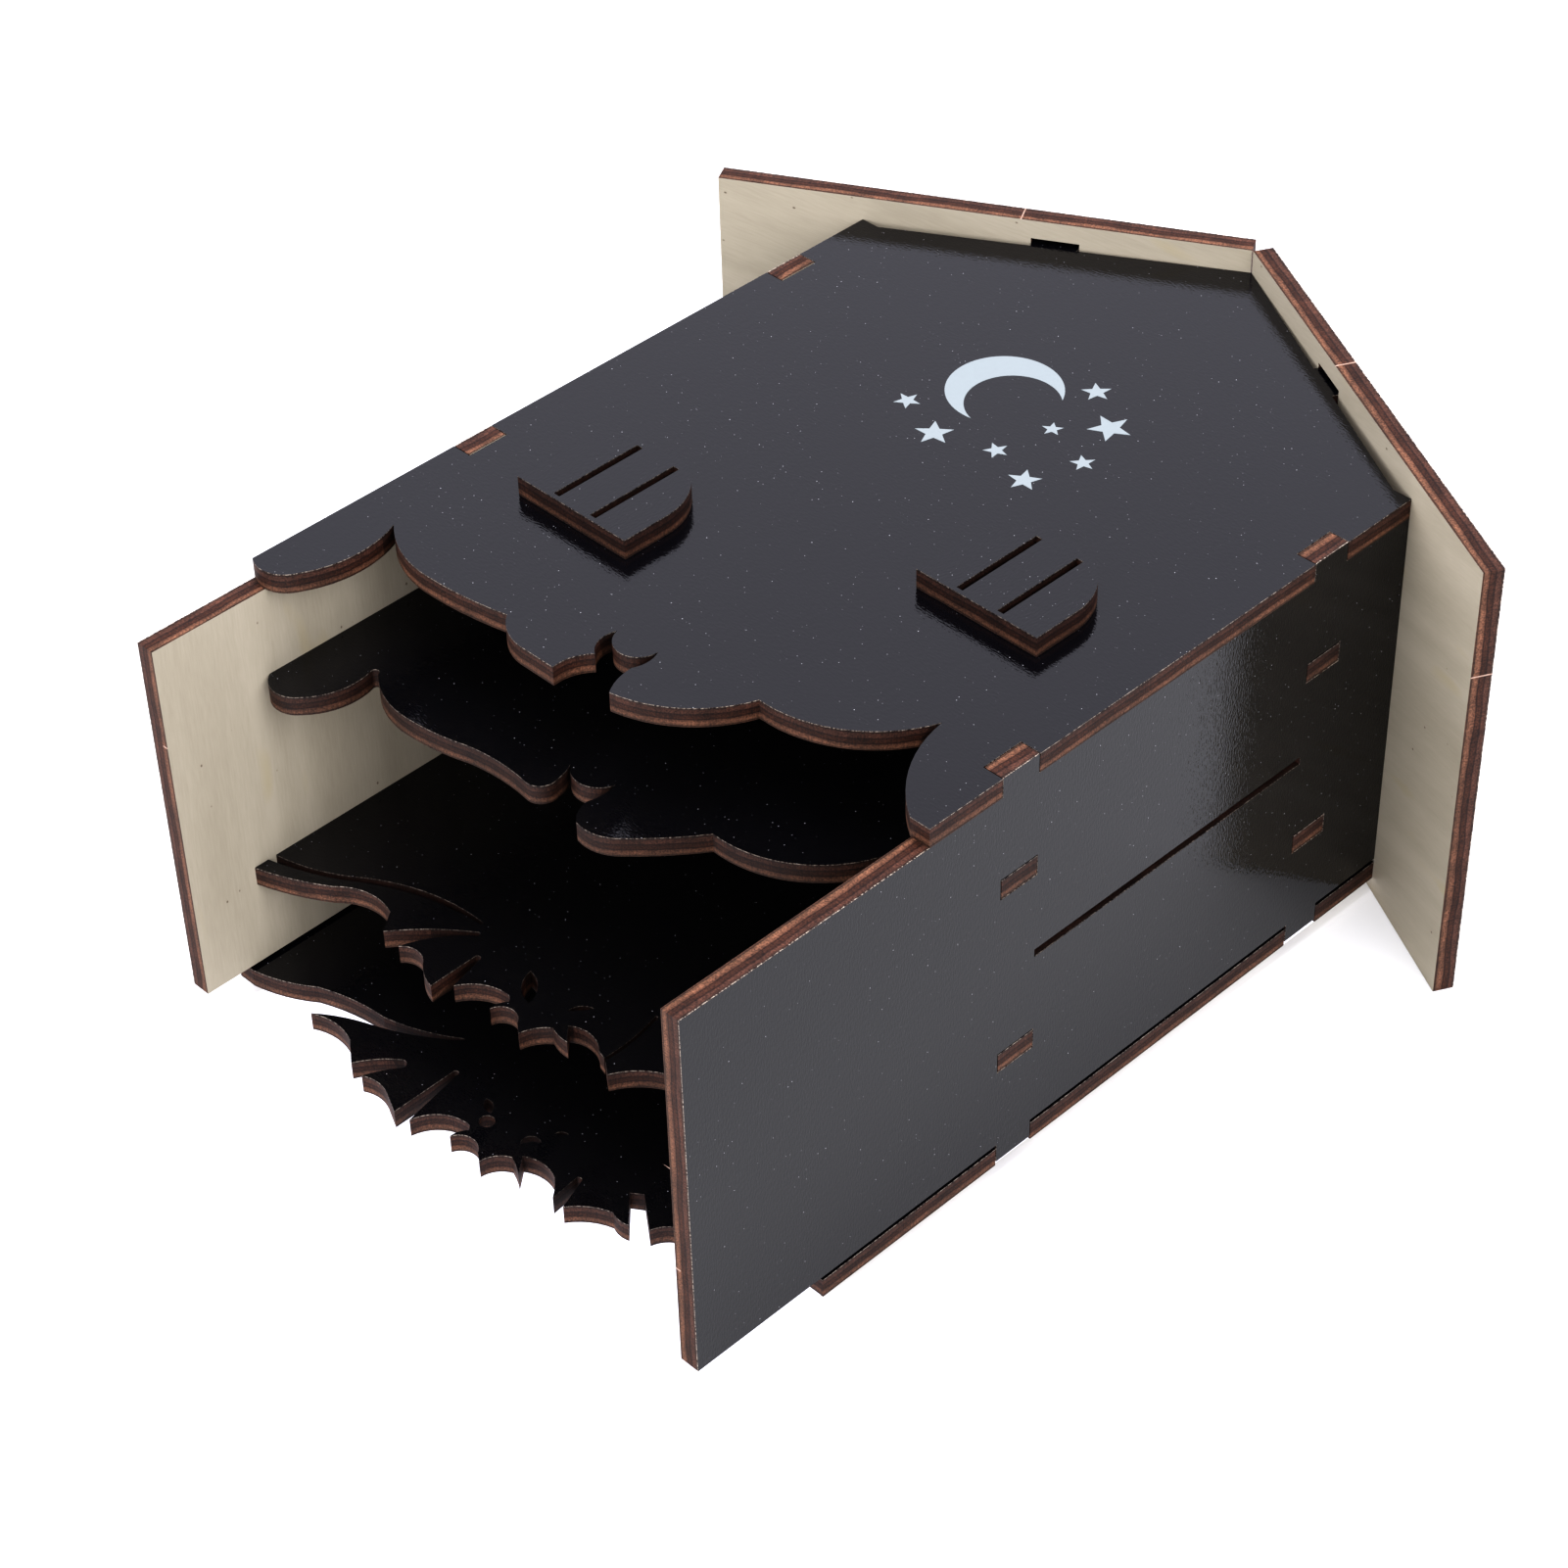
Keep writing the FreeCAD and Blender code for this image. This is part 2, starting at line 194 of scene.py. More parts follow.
class StudioSizes(bpy.types.PropertyGroup):
    """Light and floor."""
    sky_colour: bpy.props.FloatVectorProperty(
        name="Light colour", description="Colour of the light all round",
        subtype="COLOR", size=4, min=0, max=1, default=linear("F4F3FF"))
    sky_strength: bpy.props.FloatProperty(
        name="Light strength", description="Strength of the light all round",
        min=0, max=10, default=1.22)
    key_power: bpy.props.FloatProperty(
        name="Key light", description="Power of the large soft light on the right, in watts",
        min=0, max=500, default=10.0)
    low_power: bpy.props.FloatProperty(
        name="Low light", description="Power of the large soft light below the feet, in watts",
        min=0, max=500, default=9.0)
    top_power: bpy.props.FloatProperty(
        name="Top light", description="Power of the large soft light over the front, in watts",
        min=0, max=500, default=19.0)
    floor_colour: bpy.props.FloatVectorProperty(
        name="Floor colour", description="Pale floor that the box lies on, back down",
        subtype="COLOR", size=4, min=0, max=1, default=linear("D1D1D1"))
    floor_glow: bpy.props.FloatProperty(
        name="Floor glow", description="Extra light of the floor where it is looked at",
        min=0, max=1, default=0.18)


# Node trees for shapes

def new_shape_tree(name, inputs):
    """A geometry tree with a shape coming in and going out, and named inputs."""
    tree = bpy.data.node_groups.new(name, "GeometryNodeTree")
    tree.is_modifier = True
    tree.interface.new_socket("Geometry", in_out="INPUT", socket_type="NodeSocketGeometry")
    for label, kind in inputs:
        tree.interface.new_socket(label, in_out="INPUT", socket_type=kind)
    tree.interface.new_socket("Geometry", in_out="OUTPUT", socket_type="NodeSocketGeometry")
    return tree


def attach_tree(piece, tree, values):
    """Put a tree on a piece as a modifier, and set its inputs."""
    modifier = piece.modifiers.new(tree.name, "NODES")
    modifier.node_group = tree
    for item in tree.interface.items_tree:
        if item.item_type == "SOCKET" and item.in_out == "INPUT" and item.name in values:
            modifier[item.identifier] = values[item.name]


def board_faces_tree():
    """Gives each point its place in the board, in mm: across the grain, along it, and deep
    from the coated face, and how pale it was cut, darker as painted shade where a cut is
    narrow.
    Then the tree sorts the faces into coated, bare and cut ones."""
    tree = new_shape_tree("board_faces", [
        ("Coated side", "NodeSocketVector"),
        ("Grain", "NodeSocketVector"),
        ("Coated face place", "NodeSocketFloat"),
        ("Paleness of cuts", "NodeSocketFloat"),
    ])
    start = add(tree, "NodeGroupInput").outputs
    spot = add(tree, "GeometryNodeInputPosition").outputs[0]
    across_way = add(tree, "ShaderNodeVectorMath", {0: start["Coated side"], 1: start["Grain"]},
                     operation="CROSS_PRODUCT").outputs["Vector"]
    across = add(tree, "ShaderNodeVectorMath", {0: spot, 1: across_way},
                 operation="DOT_PRODUCT").outputs["Value"]
    along = add(tree, "ShaderNodeVectorMath", {0: spot, 1: start["Grain"]},
                operation="DOT_PRODUCT").outputs["Value"]
    out = add(tree, "ShaderNodeVectorMath", {0: spot, 1: start["Coated side"]},
              operation="DOT_PRODUCT").outputs["Value"]
    deep = add(tree, "ShaderNodeMath", {0: start["Coated face place"], 1: out},
               operation="SUBTRACT").outputs[0]
    place = add(tree, "ShaderNodeCombineXYZ", {0: across, 1: along, 2: deep}).outputs[0]
    in_mm = add(tree, "ShaderNodeVectorMath", {0: place, "Scale": 1 / MM},
                operation="SCALE").outputs["Vector"]
    shape = add(tree, "GeometryNodeStoreNamedAttribute",
                {"Geometry": start["Geometry"], "Name": "board_place", "Value": in_mm},
                data_type="FLOAT_VECTOR", domain="CORNER").outputs["Geometry"]
    # A cut is narrow where the board itself faces its wall from nearer than this; its walls get
    # painted shade
    narrow_width = 3.0 * MM
    clearance = 0.01 * MM
    facing = add(tree, "GeometryNodeInputNormal").outputs[0]
    just_off = add(tree, "ShaderNodeVectorMath", {0: facing, 1: (clearance,) * 3, 2: spot},
                   operation="MULTIPLY_ADD").outputs["Vector"]
    narrow = add(tree, "GeometryNodeRaycast",
                 {"Target Geometry": start["Geometry"], "Source Position": just_off,
                  "Ray Direction": facing, "Ray Length": narrow_width}).outputs["Is Hit"]
    # Painted shade: a narrow cut's walls take the darkest paleness
    paleness = add(tree, "GeometryNodeSwitch",
                   {"Switch": narrow, "False": start["Paleness of cuts"],
                    "True": NARROW_CUT_SHADE}, input_type="FLOAT").outputs[0]
    of_face = add(tree, "GeometryNodeFieldOnDomain", {0: paleness},
                  data_type="FLOAT", domain="FACE").outputs[0]
    shape = add(tree, "GeometryNodeStoreNamedAttribute",
                {"Geometry": shape, "Name": "cut_paleness", "Value": of_face},
                data_type="FLOAT", domain="CORNER").outputs["Geometry"]
    side = add(tree, "ShaderNodeVectorMath", {0: facing, 1: start["Coated side"]},
               operation="DOT_PRODUCT").outputs["Value"]
    # The least cosine between the coated side and a face that counts as coated
    flat = 0.9
    coated = add(tree, "FunctionNodeCompare", {0: side, 1: flat},
                 data_type="FLOAT", operation="GREATER_THAN").outputs[0]
    bare = add(tree, "FunctionNodeCompare", {0: side, 1: -flat},
               data_type="FLOAT", operation="LESS_THAN").outputs[0]
    choices = ((None, "burnt_edge"), (coated, "black_lacquer"), (bare, "bare_basswood"))
    for chosen, finish in choices:
        inputs = {"Geometry": shape, "Material": bpy.data.materials[finish]}
        if chosen is not None:
            inputs["Selection"] = chosen
        shape = add(tree, "GeometryNodeSetMaterial", inputs).outputs["Geometry"]
    add(tree, "NodeGroupOutput", {0: shape})


def stars_tree():
    """A five-pointed star of ink film on each point, as big and as turned as the point says."""
    tree = new_shape_tree("stars", [
        ("Waist", "NodeSocketFloat"),
        ("Film", "NodeSocketFloat"),
    ])
    start = add(tree, "NodeGroupInput").outputs
    outline = add(tree, "GeometryNodeCurveStar",
                  {"Points": 5, "Inner Radius": start["Waist"], "Outer Radius": 1.0})
    sheet = add(tree, "GeometryNodeFillCurve", {0: outline.outputs["Curve"]}).outputs[0]
    raised = add(tree, "GeometryNodeExtrudeMesh",
                 {"Mesh": sheet, "Offset": (0, 0, 1), "Offset Scale": start["Film"],
                  "Individual": False})
    under = add(tree, "GeometryNodeFlipFaces", {0: sheet}).outputs[0]
    closed = add(tree, "GeometryNodeJoinGeometry")
    tree.links.new(raised.outputs["Mesh"], closed.inputs[0])
    tree.links.new(under, closed.inputs[0])
    whole = add(tree, "GeometryNodeMergeByDistance",
                {"Geometry": closed.outputs[0], "Distance": WELD}).outputs[0]
    size = add(tree, "GeometryNodeInputNamedAttribute", {"Name": "star_size"},
               data_type="FLOAT").outputs[0]
    turn = add(tree, "GeometryNodeInputNamedAttribute", {"Name": "star_turn"},
               data_type="FLOAT").outputs[0]
    flat_size = add(tree, "ShaderNodeCombineXYZ", {0: size, 1: size, 2: 1.0}).outputs[0]
    upright = add(tree, "ShaderNodeCombineXYZ", {0: math.pi / 2, 1: turn, 2: 0.0}).outputs[0]
    spread = add(tree, "GeometryNodeInstanceOnPoints",
                 {"Points": start["Geometry"], "Instance": whole, "Rotation": upright,
                  "Scale": flat_size}).outputs[0]
    real = add(tree, "GeometryNodeRealizeInstances", {0: spread}).outputs[0]
    inked = add(tree, "GeometryNodeSetMaterial",
                {"Geometry": real, "Material": bpy.data.materials["white_ink"]}).outputs[0]
    add(tree, "NodeGroupOutput", {0: inked})
    return tree


# Materials

def new_material(name):
    """An empty material and its tree."""
    material = bpy.data.materials.new(name)
    material.use_nodes = True
    material.node_tree.nodes.clear()
    return material.node_tree


def close_material(tree, colour, roughness, relief, height, **fixed):
    """The surface shader: colour and roughness as values or links, relief as a link with
    its height in mm, and other inputs by name."""
    bump = add(tree, "ShaderNodeBump",
               {"Height": relief, "Distance": height * MM, "Strength": 1.0}).outputs[0]
    inputs = {"Base Color": colour, "Roughness": roughness, "Normal": bump}
    for name, value in fixed.items():
        inputs[name.replace("_", " ")] = value
    surface = add(tree, "ShaderNodeBsdfPrincipled", inputs).outputs[0]
    add(tree, "ShaderNodeOutputMaterial", {0: surface})


def board_place(tree, sizes):
    """Place in the board divided by a pattern's sizes in mm: across, along, deep."""
    place = add(tree, "ShaderNodeAttribute", attribute_name="board_place")
    return add(tree, "ShaderNodeVectorMath", {0: place.outputs["Vector"], 1: sizes},
               operation="DIVIDE").outputs[0]


def mottled(tree, sizes, least, most, detail=2.0):
    """A value that wanders from least to most in patches of the given sizes in mm."""
    noise = add(tree, "ShaderNodeTexNoise",
                {"Vector": board_place(tree, sizes), "Scale": 1.0,
                 "Detail": detail}).outputs[0]
    return add(tree, "ShaderNodeMapRange",
               {"Value": noise, "From Min": NOISE_LOW, "From Max": NOISE_HIGH,
                "To Min": least, "To Max": most}).outputs[0]


def black_lacquer(finish):
    """Black lacquer rolled on thinly: a glossy skin whose fine orange peel follows the
    grain beneath, so reflections have broken edges. Pale dust lies on it."""
    tree = new_material("black_lacquer")
    # Specks of dust up to 0.3 mm wide, one in 5 square mm, most of them too faint to see
    spacing = 1.1
    # Where a speck begins to fade and where it ends, as shares of the spacing
    core, rim = 0.05, 0.13
    faintness = 8.0
    cells = add(tree, "ShaderNodeTexVoronoi",
                {"Vector": board_place(tree, (spacing,) * 3), "Scale": 1.0})
    speck = add(tree, "ShaderNodeMapRange",
                {"Value": cells.outputs["Distance"], "From Min": core, "From Max": rim,
                 "To Min": 1.0, "To Max": 0.0}).outputs[0]
    chance = add(tree, "ShaderNodeSeparateColor",
                 {0: cells.outputs["Color"]}).outputs[0]
    paleness = add(tree, "ShaderNodeMath", {0: chance, 1: faintness},
                   operation="POWER").outputs[0]
    shown = add(tree, "ShaderNodeMath", {0: speck, 1: paleness},
                operation="MULTIPLY").outputs[0]
    colour = add(tree, "ShaderNodeMix",
                 {0: shown, 6: finish.coat_colour, 7: finish.dust_colour},
                 data_type="RGBA").outputs[2]
    # Orange peel in cells 0.45 mm wide and 1.3 mm long
    peel = add(tree, "ShaderNodeTexNoise",
               {"Vector": board_place(tree, (0.45, 1.3, 0.45)), "Scale": 1.0, "Detail": 1.0,
                "Roughness": 0.5}).outputs[0]
    # Handling marks a few centimetres wide leave it glossier here and duller there
    glossy = finish.coat_roughness - 0.03
    dull = finish.coat_roughness + 0.04
    roughness = mottled(tree, (30.0, 45.0, 30.0), glossy, dull, detail=3.0)
    close_material(tree, colour, roughness, peel, finish.peel_relief, IOR=1.5)


def bare_basswood(finish):
    """Rotary-cut basswood veneer, sanded and left bare: a cream, nearly plain wood with
    short fine fibres, soft broad streaks, a rare yellow one, and a few dark pin flecks."""
    tree = new_material("bare_basswood")
    # Broad streaks about 9 mm wide and 120 mm long
    broad = add(tree, "ShaderNodeTexNoise",
                {"Vector": board_place(tree, (9.0, 120.0, 9.0)), "Scale": 1.0,
                 "Detail": 2.0}).outputs[0]
    # Fibres 0.5 mm wide, drawn twice as coarse as they are, and 7 mm long
    fibre = add(tree, "ShaderNodeTexNoise",
                {"Vector": board_place(tree, (0.5, 7.0, 0.5)), "Scale": 1.0, "Detail": 3.0,
                 "Roughness": 0.6}).outputs[0]
    fibre_share = 0.4
    grey = add(tree, "ShaderNodeMix", {0: fibre_share, 2: broad, 3: fibre},
               data_type="FLOAT").outputs[0]
    # Two noises mixed spread less than one
    darkest, palest = 0.35, 0.65
    share = add(tree, "ShaderNodeMapRange",
                {"Value": grey, "From Min": darkest, "From Max": palest}).outputs[0]
    wood = add(tree, "ShaderNodeMix", {0: share, 6: finish.wood_dark, 7: finish.wood_pale},
               data_type="RGBA").outputs[2]
    # Yellow streaks 9 mm wide and 30 mm long, far apart
    streak = add(tree, "ShaderNodeTexNoise",
                 {"Vector": board_place(tree, (9.0, 30.0, 9.0)), "Scale": 1.0,
                  "Detail": 1.0}).outputs[0]
    # Only the noise's rare peaks show
    faintest, strongest = 0.68, 0.8
    yellow = add(tree, "ShaderNodeMapRange",
                 {"Value": streak, "From Min": faintest, "From Max": strongest,
                  "To Max": 0.5}).outputs[0]
    wood = add(tree, "ShaderNodeMix", {0: yellow, 6: wood, 7: finish.wood_yellow},
               data_type="RGBA").outputs[2]
    # Pin flecks up to 0.6 mm wide and 0.9 mm long, one in 400 square mm
    core, rim = 0.03, 0.06
    flecks = add(tree, "ShaderNodeTexVoronoi",
                 {"Vector": board_place(tree, (5.5, 8.0, 5.5)), "Scale": 1.0})
    fleck = add(tree, "ShaderNodeMapRange",
                {"Value": flecks.outputs["Distance"], "From Min": core, "From Max": rim,
                 "To Min": 0.75, "To Max": 0.0}).outputs[0]
    colour = add(tree, "ShaderNodeMix", {0: fleck, 6: wood, 7: finish.fleck_colour},
                 data_type="RGBA").outputs[2]
    roughness = add(tree, "ShaderNodeMapRange",
                    {"Value": fibre, "From Min": NOISE_LOW, "From Max": NOISE_HIGH,
                     "To Min": 0.58, "To Max": 0.74}).outputs[0]
    fibre_height = 0.02
    close_material(tree, colour, roughness, fibre, fibre_height, Specular_IOR_Level=0.3)


def burnt_edge(finish, thickness):
    """Edge cut by a laser: the three plies are charred brown, mottled, darker along the two
    glue lines, and striated from face to face. A pale line runs along the lacquer's arris:
    partly chipped lacquer, partly a painted glint of the rounded arris. The arris at the bare
    face is burnt a little less than the line beside it."""
    tree = new_material("burnt_edge")
    place = add(tree, "ShaderNodeAttribute", attribute_name="board_place").outputs["Vector"]
    deep = add(tree, "ShaderNodeSeparateXYZ", {0: place}).outputs[2]
    # The glue lines wander by 0.35 mm over some 20 mm
    wander = 0.35
    shift = mottled(tree, (20.0, 20.0, 20.0), -wander, wander)
    # The wander fades out towards both faces
    middle = thickness / 2
    from_middle = add(tree, "ShaderNodeMath", {0: deep, 1: middle},
                      operation="SUBTRACT").outputs[0]
    distance = add(tree, "ShaderNodeMath", {0: from_middle}, operation="ABSOLUTE").outputs[0]
    inner = add(tree, "ShaderNodeMapRange",
                {"Value": distance, "From Min": middle / 2, "From Max": middle,
                 "To Min": 1.0, "To Max": 0.0}).outputs[0]
    level = add(tree, "ShaderNodeMath", {0: shift, 1: inner, 2: deep},
                operation="MULTIPLY_ADD").outputs[0]
    share = add(tree, "ShaderNodeMath", {0: level, 1: thickness},
                operation="DIVIDE").outputs[0]
    # From the coated face to the bare one
    plies = add(tree, "ShaderNodeValToRGB", {0: share}, stops=(
        (0.00, "38261F"), (0.06, "241610"), (0.12, "472E24"), (0.29, "4E3328"),
        (0.35, "29160F"), (0.44, "3C2318"), (0.56, "3E2418"), (0.62, "27140C"),
        (0.67, "573A2B"), (0.80, "6C4B39"), (0.90, "604433"), (0.935, "29180F"),
        (0.965, "483123"), (1.00, "483226"),
    )).outputs[0]
    # Char in patches 6 mm wide, in grains 0.4 mm wide, and in striations 0.3 mm apart
    layers = (
        ((6.0, 6.0, 3.0), 0.7, 1.35),
        ((0.4, 0.4, 0.4), 0.45, 1.55),
        ((0.3, 0.3, 4.0), 0.8, 1.2),
    )
    # How pale the cut is drawn, with painted shade on the walls of narrow cuts
    pale = add(tree, "ShaderNodeAttribute", attribute_name="cut_paleness").outputs["Fac"]
    char = pale
    for sizes, least, most in layers:
        char = add(tree, "ShaderNodeMath", {0: char, 1: mottled(tree, sizes, least, most)},
                   operation="MULTIPLY").outputs[0]
    char_grey = add(tree, "ShaderNodeCombineColor", {0: char, 1: char, 2: char}).outputs[0]
    burnt = add(tree, "ShaderNodeMix", {0: 1.0, 6: plies, 7: char_grey},
                data_type="RGBA", blend_type="MULTIPLY").outputs[2]
    # The pale line along the lacquer's arris, partly chipped lacquer and partly a painted
    # glint of the rounded arris, fades out 0.3 mm deep, and is broken every half millimetre or
    # so
    whole_depth, last_depth = 0.08, 0.32
    chipped = add(tree, "ShaderNodeMapRange",
                  {"Value": deep, "From Min": whole_depth, "From Max": last_depth,
                   "To Min": 1.0, "To Max": 0.0}).outputs[0]
    breaks = add(tree, "ShaderNodeTexNoise",
                 {"Vector": board_place(tree, (0.6, 0.6, 0.6)), "Scale": 1.0,
                  "Detail": 3.0, "Roughness": 0.7}).outputs[0]
    absent, present = 0.43, 0.63
    kept = add(tree, "ShaderNodeMapRange",
               {"Value": breaks, "From Min": absent, "From Max": present}).outputs[0]
    line = add(tree, "ShaderNodeMath", {0: chipped, 1: kept}, operation="MULTIPLY").outputs[0]
    # The chipped line and painted glint dim where the cut is drawn darker
    line = add(tree, "ShaderNodeMath", {0: line, 1: pale}, operation="MULTIPLY").outputs[0]
    colour = add(tree, "ShaderNodeMix", {0: line, 6: burnt, 7: finish.chip_and_glint_colour},
                 data_type="RGBA").outputs[2]
    roughness = 0.65
    char_height = 0.03
    close_material(tree, colour, roughness, char, char_height, Specular_IOR_Level=0.35)


def white_ink(sizes):
    """Screen-printing ink: an opaque, nearly matt white film, with the squeegee's mottle."""
    tree = new_material("white_ink")
    spot = add(tree, "ShaderNodeTexCoord").outputs["Object"]
    mottle_width = 1.5 * MM
    mottle = add(tree, "ShaderNodeTexNoise",
                 {"Vector": spot, "Scale": 1 / mottle_width, "Detail": 2.0}).outputs[0]
    thin = add(tree, "ShaderNodeMapRange",
               {"Value": mottle, "From Min": NOISE_LOW, "From Max": NOISE_HIGH,
                "To Min": 0.12, "To Max": 0.0}).outputs[0]
    colour = add(tree, "ShaderNodeMix",
                 {0: thin, 6: sizes.ink_colour, 7: sizes.thin_colour},
                 data_type="RGBA").outputs[2]
    roughness = 0.42
    mottle_height = 0.01
    close_material(tree, colour, roughness, mottle, mottle_height)


def torn_wood(sizes):
    """Wood torn where a bridge broke: pale, fibrous and dull, with painted shade in the hollows
    between the fibres.
    """
    tree = new_material("torn_wood")
    spot = add(tree, "ShaderNodeTexCoord").outputs["Object"]
    fibre_width = 0.3 * MM
    fibre = add(tree, "ShaderNodeTexNoise",
                {"Vector": spot, "Scale": 1 / fibre_width, "Detail": 2.0}).outputs[0]
    # Pale fibres mixed with painted shade in their hollows
    colour = add(tree, "ShaderNodeMix",
                 {0: fibre, 6: sizes.pale_colour, 7: sizes.hollow_shade_colour},
                 data_type="RGBA").outputs[2]
    roughness = 0.8
    fibre_height = 0.05
    close_material(tree, colour, roughness, fibre, fibre_height)


# Boards

def roof_pitch():
    """Slope of the roof boards, which lie on the gables' peaks and shoulders."""
    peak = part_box("front_panel")[1][2]
    shoulder_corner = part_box("side_right")[1]
    return math.atan((peak - shoulder_corner[2]) / shoulder_corner[0])


def board_thickness():
    """Thickness of the boards."""
    low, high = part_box("side_right")
    return high[0] - low[0]


def finish_board(node, coated_side, grain, cut_paleness):
    """Sort a board's faces and give them their finishes."""
    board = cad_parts[node]
    board.data.materials.clear()
    for name in ("black_lacquer", "bare_basswood", "burnt_edge"):
        board.data.materials.append(bpy.data.materials[name])
    coated_face = max(point.co.dot(coated_side) for point in board.data.vertices)
    attach_tree(board, bpy.data.node_groups["board_faces"], {
        "Coated side": coated_side,
        "Grain": grain,
        "Coated face place": coated_face,
        "Paleness of cuts": cut_paleness,
    })


class BATBOX_OT_stock(bpy.types.Operator):
    """Make the finishes of the board"""
    bl_idname = "batbox.stock"
    bl_label = "Board finishes"

    def execute(self, context):
        scene = context.scene
        black_lacquer(scene.batbox_finish)
        bare_basswood(scene.batbox_finish)
        burnt_edge(scene.batbox_finish, board_thickness() / MM)
        board_faces_tree()
        return {"FINISHED"}


class BATBOX_OT_panels(bpy.types.Operator):
    """Finish the front and the back, coated in front, grain across"""
    bl_idname = "batbox.panels"
    bl_label = "Front and back"

    def execute(self, context):
        finish_board("front_panel", FORWARD, RIGHT, CURVED_CUT)
        finish_board("back_panel", FORWARD, RIGHT, CURVED_CUT)
        return {"FINISHED"}


class BATBOX_OT_partitions(bpy.types.Operator):
    """Finish the two partitions, coated in front, grain across"""
    bl_idname = "batbox.partitions"
    bl_label = "Partitions"

    def execute(self, context):
        finish_board("baffle_front", FORWARD, RIGHT, DARKEST_CUT)
        finish_board("baffle_rear", FORWARD, RIGHT, CURVED_CUT)
        return {"FINISHED"}


class BATBOX_OT_sides(bpy.types.Operator):
    """Finish the sides, coated outside, grain from front to back"""
    bl_idname = "batbox.sides"
    bl_label = "Sides"

    def execute(self, context):
        finish_board("side_left", LEFT, BACKWARD, STRAIGHT_CUT)
        finish_board("side_right", RIGHT, BACKWARD, STRAIGHT_CUT)
        return {"FINISHED"}


class BATBOX_OT_roof(bpy.types.Operator):
    """Finish the roof boards, coated on top, grain nearly down the slope"""
    bl_idname = "batbox.roof"
    bl_label = "Roof"

    def execute(self, context):
        pitch = roof_pitch()
        # The boards were cut a little askew to the grain
        skew = math.radians(16)
        for node, side in (("roof_left", -1), ("roof_right", 1)):
            outward = Vector((side * math.sin(pitch), 0, math.cos(pitch)))
            down_slope = Vector((side * math.cos(pitch), 0, -math.sin(pitch)))
            grain = down_slope * math.cos(skew) + FORWARD * math.sin(skew)
            finish_board(node, outward, grain, STRAIGHT_CUT)
        return {"FINISHED"}


class BATBOX_OT_plates(bpy.types.Operator):
    """Finish the two barred plates, coated in front, grain upright"""
    bl_idname = "batbox.plates"
    bl_label = "Barred plates"

    def execute(self, context):
        for node in ("pad_left", "pad_right"):
            finish_board(node, FORWARD, UPWARD, DARKEST_CUT)
        return {"FINISHED"}


# Print

def plain_mesh_from(piece):
    """Turn a piece and its modifiers into a plain mesh."""
    graph = bpy.context.evaluated_depsgraph_get()
    made = bpy.data.meshes.new_from_object(piece.evaluated_get(graph))
    made.name = piece.name
    piece.modifiers.clear()
    piece.data = made


def place_piece(name, mesh):
    """Put a mesh in the scene as a piece."""
    piece = bpy.data.objects.new(name, mesh)
    bpy.context.scene.collection.objects.link(piece)
    return piece


class BATBOX_OT_moon(bpy.types.Operator):
    """Print the crescent moon on the front"""
    bl_idname = "batbox.moon"
    bl_label = "Moon print"

    def execute(self, context):
        sizes = context.scene.batbox_print
        white_ink(sizes)
        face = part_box("front_panel")[0][1]
        outer = sizes.moon_radius
        # A second circle, smaller and shifted, bites the crescent out of the first
        bite_share = 0.82
        shift_share = 0.42
        bite = bite_share * outer
        shift = shift_share * outer
        lean = math.radians(-28)
        meet = math.acos((outer ** 2 + shift ** 2 - bite ** 2) / (2 * outer * shift))
        bite_meet = math.atan2(outer * math.sin(meet), outer * math.cos(meet) - shift)
        steps = 48
        rings = []
        for i in range(steps + 1):
            share = i / steps
            far = meet + share * (2 * math.pi - 2 * meet)
            near = bite_meet + share * (2 * math.pi - 2 * bite_meet)
            rings.append(((outer * math.cos(far), outer * math.sin(far)),
                          (shift + bite * math.cos(near), bite * math.sin(near))))
        mesh = bpy.data.meshes.new("moon_print")
        work = bmesh.new()
        levels = []
        for level in (face - sizes.film, face):
            rows = []
            for pair in rings:
                row = []
                for u, v in pair:
                    x = sizes.moon_across + u * math.cos(lean) - v * math.sin(lean)
                    z = sizes.moon_height + u * math.sin(lean) + v * math.cos(lean)
                    row.append(work.verts.new((x, level, z)))
                rows.append(row)
            for a, b in zip(rows, rows[1:]):
                work.faces.new((a[0], b[0], b[1], a[1]))
            levels.append(rows)
        front, back = levels
        for arc in (0, 1):
            for i in range(steps):
                work.faces.new((front[i][arc], front[i + 1][arc],
                                back[i + 1][arc], back[i][arc]))
        bmesh.ops.remove_doubles(work, verts=work.verts, dist=WELD)
        bmesh.ops.dissolve_degenerate(work, edges=work.edges, dist=WELD)
        bmesh.ops.recalc_face_normals(work, faces=work.faces)
        work.to_mesh(mesh)
        work.free()
        mesh.materials.append(bpy.data.materials["white_ink"])
        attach(place_piece("moon_print", mesh), "root")
        return {"FINISHED"}


